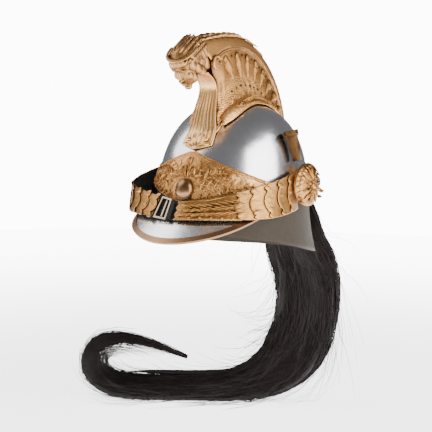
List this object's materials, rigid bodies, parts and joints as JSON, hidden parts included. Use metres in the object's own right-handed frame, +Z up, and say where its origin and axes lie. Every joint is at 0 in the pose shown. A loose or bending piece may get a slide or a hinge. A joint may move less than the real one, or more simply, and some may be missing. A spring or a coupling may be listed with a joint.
{
  "type": "dragoon helmet",
  "caption": "Steel dragoon helmet with a brass crest and mask head, embossed brow band, scaled chin strap and a long horsehair mane that sweeps forward below it.",
  "frame": {"origin": "middle of the head opening in the plane of the skull's rim", "axes": "+Z up through the crown, -Y to the front over the visor, +X to the wearer's left"},
  "size_m": [0.3891, 0.3819, 0.5474],
  "materials": {
    "steel": "polished",
    "dull_steel": "satin",
    "brass": "cast, satin",
    "pale_brass": "satin",
    "edging_brass": "polished",
    "bronze": "darkened, satin",
    "black_leather": "matte",
    "hair": "satin hair"
  },
  "bodies": {
    "root": {"brow_band": "brass", "buckle_frame": "pale_brass", "buckle_tongue": "pale_brass", "crest_flange_left": "brass", "crest_flange_right": "brass", "crest_leaf": "bronze", "crest_mask": "bronze", "crest_plate_left": "brass", "crest_plate_right": "brass", "crest_scroll_left": "brass", "crest_scroll_right": "brass", "crest_spine": "brass", "front_plate_left": "brass", "front_plate_right": "brass", "front_strip": "pale_brass", "grenade_boss": "bronze", "mane": "hair", "mane_socket": "brass", "neck_guard": "dull_steel", "plume_socket": "brass", "rosette_left": "brass", "rosette_right": "brass", "scale_left_1": "brass", "scale_left_2": "brass", "scale_left_3": "brass", "scale_left_4": "brass", "scale_left_5": "brass", "scale_right_1": "brass", "scale_right_2": "brass", "scale_right_3": "brass", "scale_right_4": "brass", "scale_right_5": "brass", "scale_right_6": "brass", "scale_right_7": "brass", "scale_right_8": "brass", "skull": "steel", "strap_leather_left": "black_leather", "strap_leather_right": "black_leather", "strap_tip": "black_leather", "visor": "steel", "visor_edging": "edging_brass"}
  },
  "joints": []
}
